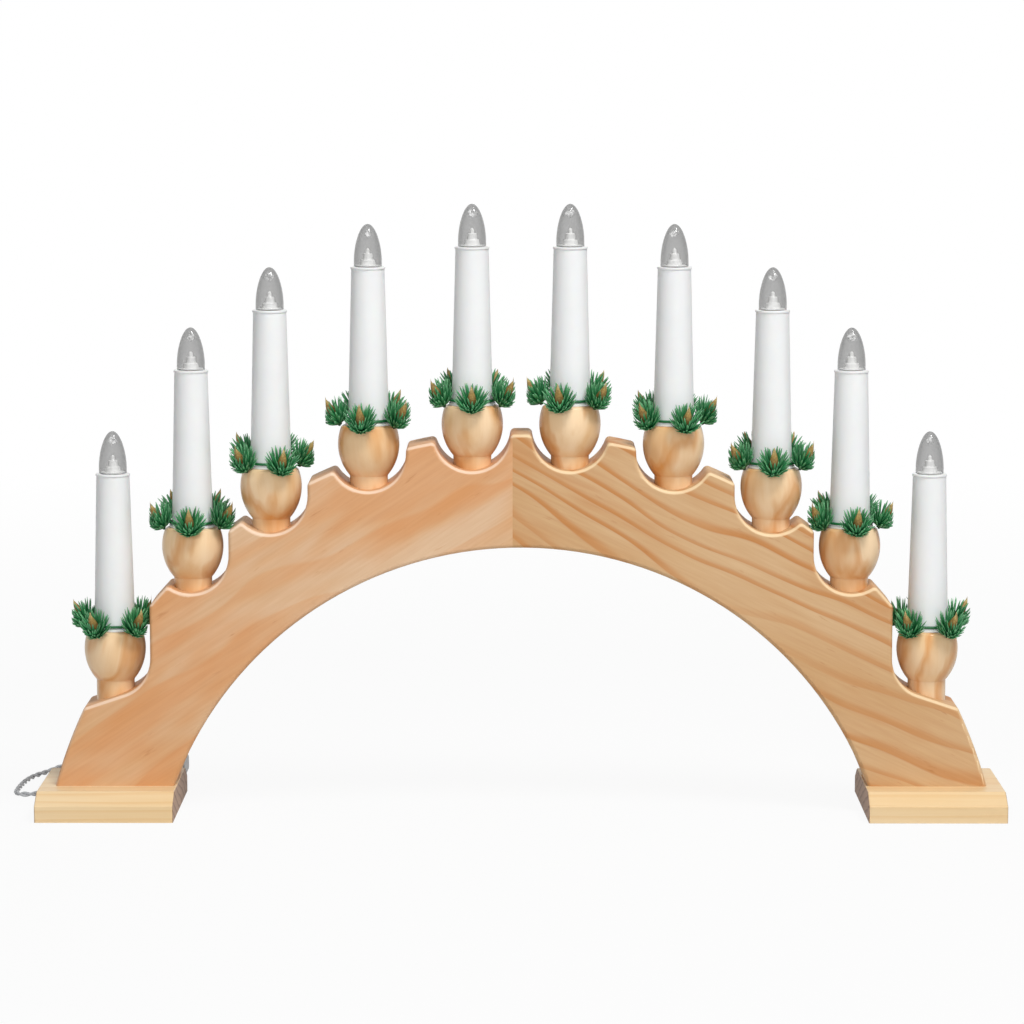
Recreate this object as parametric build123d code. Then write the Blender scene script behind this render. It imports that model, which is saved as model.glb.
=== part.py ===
from build123d import *
import os
from math import cos, pi, radians, sin, sqrt, tan

os.makedirs("parts", exist_ok=True)

# Arch boards: two concentric circles, cut flat on the feet
arch_inner_r = 199.5
arch_band = 61.0
arch_centre_z = -55.0
board_thick = 18.0
seam_x = -4.5
edge_round = 2.0
peak_round = 2.6
scallop_r = 20.5
end_slope = 18.5

# Feet
foot_overhang = 8.5
foot_length = 74.0
foot_depth = 85.0
foot_height = 15.0
foot_edge = 9.0
foot_bevel = 10.5
foot_round = 0.8

# Candle stations of one half: degrees from the crown, rise over the outer circle
stations = ((5.73, 2.0), (18.1, 3.0), (30.6, 3.7), (42.2, 3.0), (57.6, -0.4))

# Turned cups, heights from the cup's widest place
cup_r = 16.3
cup_top = 13.5
cup_top_r = 12.6
cup_shoulder_r = 13.6
cup_shoulder_drop = 0.9
cup_foot = 13.7
neck_r = 10.2
neck_seat = 15.0
wire_hole_r = 3.0
fit = 0.1

# Candle tubes
flange_r = 12.5
flange_thick = 1.5
tube_base_r = 11.0
tube_top_r = 8.9
tube_length = 82.0
tube_wall = 1.2
spigot_r = 8.0
spigot_length = 9.5

# Lamp sockets and bulbs
lip_r = 9.3
lip_thick = 1.2
socket_length = 20.0
socket_gap = 0.4
cap_r = 4.6
cap_length = 12.0
cap_clear = 0.3
bulb_r = 7.5
bulb_height = 22.5
bulb_straight = 2.5
bulb_wall = 0.8
bulb_tip_r = 0.5
bulb_shoulder = 8.0
bulb_dome_r = 4.2
bulb_seat_gap = 0.3
collar_height = 1.5
carrier_r = 3.7
carrier_height = 6.0
pillar_r = 2.6
pillar_height = 5.0
diode_r = 1.5
diode_height = 3.0

# Garland rings
ring_wire_r = 0.9
ring_clear = 0.3
tufts = 5
tuft_tilt = 62.0
tuft_out = 2.3
tuft_drop = 0.6
hub_r = 1.7
needle_length = 7.4
needle_r = 0.42
needle_tip_r = 0.12
needle_sink = 0.3
needles = 8
needle_spread = 38.0
bud_length = 10.5
bud_r = 1.5
garland_turns = (180, 183, 178, 200, 215, 20, 60, 2, -3, 0)

# Wiring and fasteners
channel_width = 6.0
channel_deep = 6.0
channel_elbow = 16.0
wire_r = 1.2
wire_clear = 0.5
dowel_r = 3.0
dowel_length = 30.0
dowel_first = 9.0
dowel_pitch = 9.5
screw_r = 2.0
screw_head_r = 4.0
screw_head_drop = 1.0
screw_head_tall = 2.5
screw_length = 35.0
screw_spread = 12.5

# Cord, its gland, coil, tie and plug
cord_r = 1.5
gland_z = 30.0
gland_r = 4.5
gland_flange_r = 6.5
gland_flange_thick = 2.0
gland_length = 20.0
sleeve_wall = 1.0
coil_aside = 15.4
coil_y = 92.0
coil_outer_r = 24.0
coil_pitch = 3.5
coil_start = 135.0
coil_sweep = 3285.0
coil_steps = 37
coil_run_in = 11.0
coil_run_out = 9.0
tie_thick = 0.8
tie_width = 6.0
tie_angle = -40.0
tie_clear = 0.35
plug_x = -199.0
plug_y = 104.0
plug_boot = 11.0
plug_boot_r = 3.6
plug_length = 29.0
plug_width = 20.0
plug_thick = 13.0
plug_round = 4.0
pin_r = 2.0
pin_length = 19.0
pin_pitch = 11.0

arch_outer_r = arch_inner_r + arch_band
leg_outer_x = sqrt(arch_outer_r ** 2 - (foot_height - arch_centre_z) ** 2)
foot_outer_x = leg_outer_x + foot_overhang
back_y = board_thick
lay_z = cord_r
coil_z = cord_r + tie_clear + tie_thick


def station_place(number):
    side = -1 if number < 5 else 1
    angle, rise = stations[4 - number] if number < 5 else stations[number - 5]
    reach = arch_outer_r + rise
    return side * reach * sin(radians(angle)), arch_centre_z + reach * cos(radians(angle))


places = [station_place(number) for number in range(10)]
bore_depth = scallop_r + neck_seat
gland_x = places[0][0]
coil_x = gland_x - coil_aside


def channel_run():
    # from the gland under every bore in turn, level beside each bore until it is clear of the neck
    run = [(gland_x, gland_z)]
    for x, z in places:
        low = z - bore_depth - channel_width / 2
        elbow = (x + channel_elbow if x < 0 else x - channel_elbow, low)
        run += [(x, low), elbow] if x < 0 else [elbow, (x, low)]
    return run


channel_stops = channel_run()
tube_base_z = cup_top + flange_thick
tube_top_z = tube_base_z + tube_length
lip_top_z = tube_top_z + lip_thick
bulb_base_z = lip_top_z + bulb_seat_gap


def write(shape, node):
    shape.label = node
    export_step(shape, f"parts/{node}.step")


def cylinder_y(x, z, radius, y0, y1):
    # a round bar or hole along the depth
    return extrude(Plane((x, y0, z), z_dir=(0, 1, 0)) * Circle(radius), amount=y1 - y0)


def cylinder_z(x, y, radius, z0, z1):
    return Pos(x, y, z0) * Cylinder(radius, z1 - z0, align=(Align.CENTER, Align.CENTER, Align.MIN))


def turned(points):
    # a closed half outline, radius and height, turned about the upright axis
    face = make_face(Polyline(*points, close=True))
    return revolve(Plane.XZ * face, Axis.Z)


# Boards
def arch_outline():
    tall = arch_outer_r
    ring = Pos(0, arch_centre_z) * (Circle(arch_outer_r) - Circle(arch_inner_r))
    above = Pos(0, foot_height + tall / 2) * Rectangle(3 * arch_outer_r, tall)
    outline = ring & above
    for number, (x, z) in enumerate(places):
        outline -= Pos(x, z) * Circle(scallop_r)
        outline -= Pos(x, z + tall / 2) * Rectangle(2 * scallop_r, tall)
        if number in (0, 9):
            lean = end_slope if number == 0 else -end_slope
            shift = -scallop_r if number == 0 else scallop_r
            slot = Rectangle(4 * scallop_r, 2 * scallop_r)
            outline -= Pos(x, z) * Rot(0, 0, lean) * Pos(2 * shift, 0) * slot
    middle = Vector(0, arch_centre_z)
    raised = [v for v in outline.vertices() if v.Y > foot_height + edge_round]
    tips = [v for v in raised if abs((Vector(v.X, v.Y) - middle).length - arch_outer_r) < fit]
    return fillet(tips, peak_round)


def board(outline, front):
    amount = board_thick if front else -board_thick
    solid = extrude(Plane.XZ * outline, amount=amount)
    face = solid.faces().sort_by(Axis.Y)[0 if front else -1]
    rim = [e for e in face.edges() if e.center().Z > foot_height + fit]
    return fillet(rim, edge_round)


def channel_cut():
    # straight channels from bore to bore, and down the left leg to the gland
    cut = [Pos(x, z) * Circle(channel_width / 2) for x, z in channel_stops]
    for a, b in zip(channel_stops, channel_stops[1:]):
        cut.append(trace(Line(a, b), channel_width))
    return extrude(Plane.XZ * (cut[0] + cut[1:]), amount=-channel_deep)


def dowel_spots():
    low = arch_centre_z + arch_inner_r + dowel_first
    return [(y, low + step * dowel_pitch) for y in (-board_thick / 2, board_thick / 2) for step in (0, 1)]


def screw_spots():
    middle = foot_outer_x - foot_length / 2
    inner, outer = middle - screw_spread, middle + screw_spread
    near, far = -board_thick / 2, board_thick / 2
    return [(-inner, near), (-outer, far), (inner, near), (outer, far)]


def dowel(y, z):
    bar = Plane((seam_x - dowel_length / 2, y, z), z_dir=(1, 0, 0)) * Circle(dowel_r)
    return extrude(bar, amount=dowel_length)


def screw(x, y):
    top = screw_head_drop + screw_length
    cone_top = screw_head_drop + screw_head_tall
    outline = [(0, screw_head_drop), (screw_head_r, screw_head_drop), (screw_r, cone_top)]
    outline += [(screw_r, top - 2 * screw_r), (0, top)]
    return Pos(x, y, 0) * turned(outline)


outline = arch_outline()
front_board = board(outline, True)
back_board = board(outline, False)
bores = [cylinder_z(x, 0, neck_r + fit, z - bore_depth, z) for x, z in places]
dowels = [dowel(y, z) for y, z in dowel_spots()]
screws = [screw(x, y) for x, y in screw_spots()]
front_board = front_board - bores - dowels - screws
gland_hole = cylinder_y(gland_x, gland_z, gland_r, 0, back_y)
back_board = back_board - bores - dowels - screws - channel_cut() - gland_hole
half_box = Box(2 * arch_outer_r, 4 * board_thick, 3 * arch_outer_r)
left_half = Pos(seam_x - arch_outer_r, 0, 0) * half_box
right_half = Pos(seam_x + arch_outer_r, 0, 0) * half_box
write(front_board & left_half, "front_board_left")
write(front_board & right_half, "front_board_right")
write(back_board & left_half, "back_board_left")
write(back_board & right_half, "back_board_right")
write(Compound(children=dowels), "seam_dowels")
write(Compound(children=screws), "foot_screws")


# Feet
def foot(side):
    deep = foot_depth / 2
    top = deep - foot_bevel
    points = [(-deep, 0), (deep, 0), (deep, foot_edge)]
    points += [(top, foot_height), (-top, foot_height), (-deep, foot_edge)]
    start = foot_outer_x - foot_length if side > 0 else -foot_outer_x
    face = Plane((start, 0, 0), x_dir=(0, 1, 0), z_dir=(1, 0, 0)) * make_face(Polyline(*points, close=True))
    block = extrude(face, amount=foot_length)
    block = fillet([e for e in block.edges() if e.center().Z > fit], foot_round)
    wells = [cylinder_z(x, y, screw_head_r, 0, screw_head_drop) for x, y in screw_spots()]
    return block - screws - wells


write(foot(-1), "foot_left")
write(foot(1), "foot_right")


# Cups
def cup():
    low = -bore_depth
    belly = ThreePointArc((neck_r, -cup_foot), (cup_r, 0), (cup_shoulder_r, cup_top - cup_shoulder_drop))
    shoulder = Line((cup_shoulder_r, cup_top - cup_shoulder_drop), (cup_top_r, cup_top))
    socket_r = spigot_r + fit
    socket_z = cup_top - spigot_length
    rest = Polyline(
        (cup_top_r, cup_top),
        (socket_r, cup_top),
        (socket_r, socket_z),
        (wire_hole_r, socket_z),
        (wire_hole_r, low),
        (neck_r, low),
        (neck_r, -cup_foot),
    )
    face = make_face([belly, shoulder] + rest.edges())
    return revolve(Plane.XZ * face, Axis.Z)


one_cup = cup()
cups = [Pos(x, 0, z) * one_cup for x, z in places]
write(Compound(children=cups[:5]), "cups_left")
write(Compound(children=cups[5:]), "cups_right")


# Candle tubes and lamp sockets
def candle_tube():
    inner_base = tube_base_r - tube_wall
    floor_z = tube_base_z + tube_wall
    spigot_inner = spigot_r - tube_wall
    spigot_z = cup_top - spigot_length
    return turned([
        (spigot_inner, spigot_z),
        (spigot_r, spigot_z),
        (spigot_r, cup_top),
        (flange_r, cup_top),
        (flange_r, tube_base_z),
        (tube_base_r, tube_base_z),
        (tube_top_r, tube_top_z),
        (tube_top_r - tube_wall, tube_top_z),
        (inner_base, floor_z),
        (spigot_inner, floor_z),
    ])


def lamp_socket():
    body_r = tube_top_r - tube_wall - socket_gap
    bore_r = cap_r + cap_clear
    bore_z = lip_top_z - cap_length - cap_clear
    return turned([
        (0, tube_top_z - socket_length),
        (body_r, tube_top_z - socket_length),
        (body_r, tube_top_z),
        (lip_r, tube_top_z),
        (lip_r, lip_top_z),
        (bore_r, lip_top_z),
        (bore_r, bore_z),
        (0, bore_z),
    ])


one_tube = candle_tube()
one_socket = lamp_socket()
for number, (x, z) in enumerate(places):
    write(Pos(x, 0, z) * one_tube, f"candle_tube_{number + 1:02d}")
write(Compound(children=[Pos(x, 0, z) * one_socket for x, z in places]), "lamp_sockets")


# Bulbs
def ogive(radius, top):
    # straight at the foot, then a curve that closes in a round tip
    low = bulb_base_z
    straight = low + bulb_straight
    dome_r = bulb_dome_r + radius - bulb_r
    side = Bezier((radius, straight), (radius, straight + bulb_shoulder), (dome_r, top), (bulb_tip_r, top))
    rest = Polyline((bulb_tip_r, top), (0, top), (0, low), (radius, low), (radius, straight))
    return revolve(Plane.XZ * make_face([side] + rest.edges()), Axis.Z)


def bulb_glass():
    top = bulb_base_z + bulb_height
    return ogive(bulb_r, top) - ogive(bulb_r - bulb_wall, top - 2 * bulb_wall)


def bulb_base():
    collar_r = bulb_r - bulb_wall - fit
    collar_z = bulb_base_z + collar_height
    carrier_z = collar_z + carrier_height
    pillar_z = carrier_z + pillar_height
    diode_z = pillar_z + diode_height
    return turned([
        (0, lip_top_z - cap_length),
        (cap_r, lip_top_z - cap_length),
        (cap_r, bulb_base_z),
        (collar_r, bulb_base_z),
        (collar_r, collar_z),
        (carrier_r, collar_z),
        (carrier_r, carrier_z),
        (pillar_r, carrier_z),
        (pillar_r, pillar_z),
        (diode_r, pillar_z),
        (diode_r * 0.8, diode_z),
        (0, diode_z),
    ])


one_glass = bulb_glass()
one_base = bulb_base()
for number, (x, z) in enumerate(places):
    write(Pos(x, 0, z) * one_glass, f"bulb_glass_{number + 1:02d}")
    write(Pos(x, 0, z) * one_base, f"bulb_base_{number + 1:02d}")


# Garlands
def needle(around):
    # a three-sided taper out of the hub, leaning off the tuft's axis
    place = Rot(0, 0, around) * Rot(0, needle_spread, 0) * Pos(0, 0, hub_r - needle_sink)
    foot_face = place * RegularPolygon(needle_r, 3)
    tip_face = place * Pos(0, 0, needle_length) * RegularPolygon(needle_tip_r, 3)
    return loft([foot_face, tip_face], ruled=True)


def bud():
    third = bud_length / 3
    side = Bezier((hub_r / 2, 0), (2 * bud_r, third), (bud_r, 2 * third), (needle_tip_r, bud_length))
    rest = Polyline((needle_tip_r, bud_length), (0, bud_length), (0, 0), (hub_r / 2, 0))
    return revolve(Plane.XZ * make_face([side] + rest.edges()), Axis.Z)


def garland():
    ring_r = tube_base_r + ring_clear + ring_wire_r
    ring_z = tube_base_z + ring_clear + ring_wire_r
    hub_at = ring_r + tuft_out
    fan = [needle(360 / needles * (step + 0.5)) for step in range(needles)]
    tuft = Sphere(hub_r) + fan + bud()
    seat = Pos(hub_at, 0, ring_z - tuft_drop) * Rot(0, 90 - tuft_tilt, 0)
    ring = Pos(0, 0, ring_z) * Torus(ring_r, ring_wire_r)
    return ring + [Rot(0, 0, 360 / tufts * step) * seat * tuft for step in range(tufts)]


one_garland = garland()
for number, (x, z) in enumerate(places):
    write(Pos(x, 0, z) * Rot(0, 0, garland_turns[number]) * one_garland, f"garland_{number + 1:02d}")


# Wire harness: from the gland through the channel, with a riser to each socket
def wire_run(start, end):
    way = end - start
    bar = extrude(Plane(start, z_dir=way) * Circle(wire_r), amount=way.length)
    return bar + Pos(*start) * Sphere(wire_r)


def harness():
    wire_y = wire_r + wire_clear
    stops = [Vector(x, wire_y, z) for x, z in channel_stops]
    pieces = [wire_run(a, b) for a, b in zip(stops, stops[1:])]
    for x, z in places:
        foot = Vector(x, wire_y, z - bore_depth - channel_width / 2)
        pieces.append(wire_run(foot, Vector(x, wire_y, z + tube_top_z - socket_length)))
    return pieces[0] + pieces[1:]


write(harness(), "wire_harness")


# Cord
def gland():
    y0, y1 = back_y, back_y + gland_flange_thick
    profile = [
        (0, channel_deep),
        (gland_r - fit, channel_deep),
        (gland_r - fit, y0),
        (gland_flange_r, y0),
        (gland_flange_r, y1),
        (gland_r, y1),
        (cord_r + sleeve_wall, y1 + gland_length),
        (0, y1 + gland_length),
    ]
    shape = revolve(make_face(Polyline(*profile, close=True)), Axis.Y)
    return Pos(gland_x, 0, gland_z) * shape


def fillet_radii(points):
    radii = []
    for a, b, c in zip(points, points[1:], points[2:]):
        first, second = Vector(b) - Vector(a), Vector(c) - Vector(b)
        half_turn = radians(first.get_angle(second)) / 2
        radii.append(0.45 * min(first.length, second.length) / tan(half_turn))
    return radii


def cord_tube(points, name):
    radii = fillet_radii(points)
    path = FilletPolyline(*points, radius=radii)
    tube = sweep(Plane(path @ 0, z_dir=path % 0) * Circle(cord_r), path=path)
    share = tube.volume / (pi * cord_r ** 2 * path.length)
    rounded = [round(radius, 1) for radius in radii]
    print(f"{name}: length {path.length:.1f}, volume share {share:.4f}, radii {rounded}")
    return tube


def biarc(p0, t0, p1, t1):
    # two arcs that leave p0 along t0 and reach p1 along t1, with equal handles
    way, both = p1 - p0, t0 + t1
    a = 2 * (t0.dot(t1) - 1)
    b = -2 * way.dot(both)
    handle = (-b - sqrt(b * b - 4 * a * way.dot(way))) / (2 * a)
    q0, q1 = p0 + t0 * handle, p1 - t1 * handle
    meet = (q0 + q1) * 0.5
    return [Edge.make_tangent_arc(p0, t0, meet), Edge.make_tangent_arc(meet, q1 - q0, p1)]


def coil_point(turned_by):
    # the spiral runs in and out again at a steady rate, and climbs a layer in the half turn between
    half = coil_sweep / 2
    radius = coil_outer_r - coil_pitch * (half - abs(turned_by - half)) / 360
    share = min(max((turned_by - half + 90) / 180, 0), 1)
    height = coil_z + coil_pitch * share * share * (3 - 2 * share)
    angle = radians(coil_start - turned_by)
    return Vector(coil_x + radius * cos(angle), coil_y + radius * sin(angle), height)


def coil_heading(turned_by):
    return (coil_point(turned_by + 0.5) - coil_point(turned_by - 0.5)).normalized()


def coil_wire():
    edges = []
    step = coil_sweep / coil_steps
    for turn in range(coil_steps):
        a, b = turn * step, (turn + 1) * step
        edges += biarc(coil_point(a), coil_heading(a), coil_point(b), coil_heading(b))
    return Wire(edges)


def least_gap(wire, samples, skip):
    points = [wire.position_at(n / samples) for n in range(samples + 1)]
    least = min((a - b).length for n, a in enumerate(points) for b in points[n + skip:])
    return least - 2 * cord_r


def coil_tie():
    # a flat band round the turns, square to them
    inner_r = coil_outer_r - coil_pitch * coil_sweep / 720 - cord_r - tie_clear
    wide = coil_outer_r + cord_r + tie_clear - inner_r
    tall = coil_pitch + 2 * cord_r + 2 * tie_clear
    corner = cord_r
    band = RectangleRounded(wide + 2 * tie_thick, tall + 2 * tie_thick, corner + tie_thick)
    band -= RectangleRounded(wide, tall, corner)
    middle = Pos(inner_r + wide / 2, 0, coil_z + coil_pitch / 2)
    shape = extrude(Plane.XZ * band, amount=tie_width / 2, both=True)
    return Pos(coil_x, coil_y, 0) * Rot(0, 0, tie_angle) * middle * shape


exit_y = back_y + gland_flange_thick + gland_length
plug_z = plug_thick / 2
start = coil_point(0)
finish = coil_point(coil_sweep)
first = start - coil_heading(0) * coil_run_in
last = finish + coil_heading(coil_sweep) * coil_run_out
lead_points = [
    (gland_x, exit_y, gland_z),
    (gland_x, exit_y + 7.5, gland_z),
    (gland_x - 3, exit_y + 14, gland_z - 4),
    (gland_x - 10, exit_y + 17.5, gland_z - 11),
    (gland_x - 19, exit_y + 18, gland_z - 19),
    (gland_x - 29, exit_y + 17, gland_z - 25.5),
    (gland_x - 37.5, exit_y + 13.5, lay_z),
    (gland_x - 43.5, exit_y + 6.5, lay_z),
    (gland_x - 45.3, exit_y - 2.5, lay_z),
    (gland_x - 45.6, exit_y - 10.9, lay_z),
    (gland_x - 49.6, exit_y - 15, lay_z),
    (gland_x - 55.4, exit_y - 15, lay_z),
    (gland_x - 59.4, exit_y - 10.9, lay_z),
    (gland_x - 59.7, exit_y - 1.5, lay_z),
    (gland_x - 59.2, exit_y + 13, lay_z),
    (gland_x - 58, exit_y + 25, lay_z),
    (gland_x - 55, exit_y + 37, lay_z),
    (gland_x - 49, exit_y + 48, lay_z),
    (first.X, first.Y, first.Z),
    (start.X, start.Y, start.Z),
]
tail_points = [
    (finish.X, finish.Y, finish.Z),
    (last.X, last.Y, last.Z),
    (plug_x - 17, plug_y + 15.5, plug_z - 0.7),
    (plug_x - 7, plug_y + 15.3, plug_z - 0.2),
    (plug_x, plug_y + 8.5, plug_z),
    (plug_x, plug_y, plug_z),
]
turns = coil_wire()
coil = sweep(Plane(turns @ 0, z_dir=turns % 0) * Circle(cord_r), path=turns)
coil_share = coil.volume / (pi * cord_r ** 2 * turns.length)
coil_gap = least_gap(turns, 900, 12)
print(f"coil: length {turns.length:.1f}, volume share {coil_share:.4f}, gap {coil_gap:.2f}")
write(gland(), "cord_gland")
write(cord_tube(lead_points, "lead"), "cord_lead")
write(coil, "cord_coil")
write(cord_tube(tail_points, "tail"), "cord_tail")
write(coil_tie(), "cord_tie")


# Plug
def plug():
    rear = Plane((plug_x, plug_y, plug_z), x_dir=(1, 0, 0), z_dir=(0, -1, 0))
    boot = loft([rear * Circle(cord_r + sleeve_wall), rear.offset(plug_boot) * Circle(plug_boot_r)])
    section = rear.offset(plug_boot) * RectangleRounded(plug_width, plug_thick, plug_round)
    body = fillet(extrude(section, amount=plug_length).edges().group_by(Axis.Y)[-1], plug_round / 2)
    return boot + body


def plug_pins():
    face_y = plug_y - plug_boot - plug_length
    pins = []
    for side in (-1, 1):
        pin = cylinder_y(plug_x + side * pin_pitch / 2, plug_z, pin_r, face_y - pin_length, face_y)
        pins.append(fillet(pin.edges().sort_by(Axis.Y)[0], pin_r / 2))
    return Compound(children=pins)


write(plug(), "plug")
write(plug_pins(), "plug_pins")
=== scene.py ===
from math import pi, radians
import bmesh
import bpy
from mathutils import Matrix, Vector
import numpy as np


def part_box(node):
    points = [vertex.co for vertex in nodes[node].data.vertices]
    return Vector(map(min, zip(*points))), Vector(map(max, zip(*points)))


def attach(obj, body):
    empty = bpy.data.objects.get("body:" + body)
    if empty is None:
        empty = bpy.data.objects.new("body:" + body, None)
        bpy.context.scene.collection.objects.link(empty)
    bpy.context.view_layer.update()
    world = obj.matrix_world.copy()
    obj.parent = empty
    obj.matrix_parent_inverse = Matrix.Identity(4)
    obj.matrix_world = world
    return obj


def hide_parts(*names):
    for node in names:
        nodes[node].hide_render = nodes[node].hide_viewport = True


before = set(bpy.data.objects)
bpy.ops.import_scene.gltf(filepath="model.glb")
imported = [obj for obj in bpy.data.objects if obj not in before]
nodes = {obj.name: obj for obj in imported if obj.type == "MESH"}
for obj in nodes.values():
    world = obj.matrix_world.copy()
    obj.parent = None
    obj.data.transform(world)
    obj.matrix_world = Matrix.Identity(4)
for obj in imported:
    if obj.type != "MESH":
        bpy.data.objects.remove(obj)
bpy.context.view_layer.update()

mm = 0.001
candleNumbers = range(1, 11)

# home is the ground point between the two feet, read from the frame
leftLow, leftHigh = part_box("foot_left")
rightLow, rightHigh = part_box("foot_right")
home = np.array([(leftLow.x + rightHigh.x) / 2, (leftLow.y + leftHigh.y) / 2, leftLow.z])
print("frame loaded, home at", home.round(4))

# camera: lens and sensor in mm, place in mm from home, turns in degrees, clip in m
view = {
    "lens": 126.56, "sensor": 36.0, "place": (1.0, -1923.0, 408.0), "tiltDown": 7.3, "turnLeft": 0.175,
    "clip": (0.05, 30.0),
}


def addCamera():
    data = bpy.data.cameras.new("photoCamera")
    data.lens = view["lens"]
    data.sensor_width = view["sensor"]
    data.clip_start, data.clip_end = view["clip"]
    camera = bpy.data.objects.new("photoCamera", data)
    bpy.context.scene.collection.objects.link(camera)
    camera.location = np.array(view["place"]) * mm + home
    camera.rotation_euler = (radians(90 - view["tiltDown"]), 0, radians(view["turnLeft"]))
    bpy.context.scene.camera = camera


addCamera()
bpy.context.scene.view_settings.view_transform = "Standard"
print("camera set")


# Finishes

def shade(red, green, blue):
    # a screen colour of 0 to 255 as linear light
    screen = np.array([red, green, blue]) / 255
    linear = np.where(screen <= 0.04045, screen / 12.92, ((screen + 0.055) / 1.055) ** 2.4)
    return (*linear.tolist(), 1.0)


def grey(level):
    return (level, level, level, 1.0)


class Wire:
    # one output of a finish's nodes: arithmetic on it adds Math nodes
    def __init__(self, finish, socket):
        self.finish = finish
        self.socket = socket

    def math(self, operation, other=0.0):
        return self.finish.add("Math", {"operation": operation}, {0: self, 1: other})

    def __add__(self, other):
        return self.math("ADD", other)

    def __sub__(self, other):
        return self.math("SUBTRACT", other)

    def __mul__(self, other):
        return self.math("MULTIPLY", other)

    def __truediv__(self, other):
        return self.math("DIVIDE", other)

    def __pow__(self, other):
        return self.math("POWER", other)

    def __abs__(self):
        return self.math("ABSOLUTE")

    __radd__ = __add__


class Finish:
    # a material with one Principled surface, built node by node
    def __init__(self, name, **surface):
        self.material = bpy.data.materials.new(name)
        self.material.use_nodes = True
        self.tree = self.material.node_tree
        self.tree.nodes.clear()
        self.output = self.tree.nodes.new("ShaderNodeOutputMaterial")
        self.surface = self.tree.nodes.new("ShaderNodeBsdfPrincipled")
        self.tree.links.new(self.surface.outputs[0], self.output.inputs[0])
        self.set(**surface)

    def plug(self, socket, value):
        if isinstance(value, Wire):
            self.tree.links.new(value.socket, socket)
        else:
            socket.default_value = value

    def set(self, **surface):
        # baseColor becomes Base Color, coatWeight becomes Coat Weight
        for word, value in surface.items():
            title = "".join(" " + c if c.isupper() else c for c in word).title()
            self.plug(self.surface.inputs[title.replace("Ior", "IOR")], value)

    def add(self, kind, settings=None, inputs=None, output=0):
        node = self.tree.nodes.new("ShaderNode" + kind)
        for word, value in (settings or {}).items():
            if word == "stops":
                ramp = node.color_ramp.elements
                while len(ramp) < len(value):
                    ramp.new(0.5)
                for stop, (place, colour) in zip(ramp, value):
                    stop.position = place
                    stop.color = colour
            else:
                setattr(node, word, value)
        for socket, value in (inputs or {}).items():
            self.plug(node.inputs[socket], value)
        return Wire(self, node.outputs[output])

    def place(self):
        return self.add("TexCoord", output="Object")

    def attribute(self, name, output="Fac"):
        return self.add("Attribute", {"attribute_name": name}, output=output)

    def axis(self, vector, letter):
        return self.add("SeparateXYZ", None, {0: vector}, letter)

    def reach(self, vector, weights):
        # the length of a vector, each axis with its own weight
        weighed = self.add("VectorMath", {"operation": "MULTIPLY"}, {0: vector, 1: weights})
        return self.add("VectorMath", {"operation": "LENGTH"}, {0: weighed}, "Value")

    def turned(self, place, shift, turn):
        # turned about the axes, then shifted
        return self.add("Mapping", None, {"Vector": place, "Location": shift, "Rotation": turn})

    def noise(self, place, scale, detail=2.0):
        inputs = {"Vector": place, "Scale": scale, "Detail": detail, "Roughness": 0.55}
        return self.add("TexNoise", None, inputs)

    def streaks(self, place, scales, detail=2.0):
        # noise with its own scale on each axis, long where the scale is small
        drawn = self.add("Mapping", None, {"Vector": place, "Scale": scales})
        return self.noise(drawn, 1.0, detail)

    def ramp(self, factor, *stops, ease="LINEAR"):
        wire = self.add("ValToRGB", {"stops": stops}, {"Fac": factor})
        wire.socket.node.color_ramp.interpolation = ease
        return wire

    def step(self, factor, low, high, ease="LINEAR"):
        return self.ramp(factor, (low, grey(0)), (high, grey(1)), ease=ease)

    def mix(self, factor, first, second):
        # inputs 6 and 7 of a colour Mix are A and B, and output 2 is its colour
        return self.add("Mix", {"data_type": "RGBA"}, {0: factor, 6: first, 7: second}, 2)

    def rough(self, height, strength, depth):
        bump = self.add("Bump", None, {"Height": height, "Strength": strength, "Distance": depth})
        self.set(normal=bump)


def dress(node, finish):
    # a carried-over solid takes its finish in place of the plain one
    slots = nodes[node].data.materials
    slots.clear()
    slots.append(finish.material)


# pine of the boards: places, spacing and sway in metres, turns in degrees; the edge colour is a painted
# highlight
pineLeft = {
    "pale": shade(221, 189, 155), "mid": shade(213, 172, 130), "warm": shade(211, 142, 82),
    "line": shade(182, 120, 70), "edge": shade(240, 214, 190),
    "turn": 33.0, "heart": (0.25, 0.0, -0.52), "spacing": 0.023, "sway": 0.080,
    "stripes": 0.40, "early": 0.45, "patches": 0.56, "patchFrom": 0.44,
}
pineRight = {
    "pale": shade(210, 177, 136), "mid": shade(202, 163, 118), "warm": shade(192, 130, 74),
    "line": shade(170, 106, 58), "edge": shade(240, 216, 176),
    "turn": -25.0, "heart": (0.46, 0.0, 0.78), "spacing": 0.0108, "sway": 0.064,
    "stripes": 0.95, "early": 0.58, "patches": 0.5, "patchFrom": 0.5,
}


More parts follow.
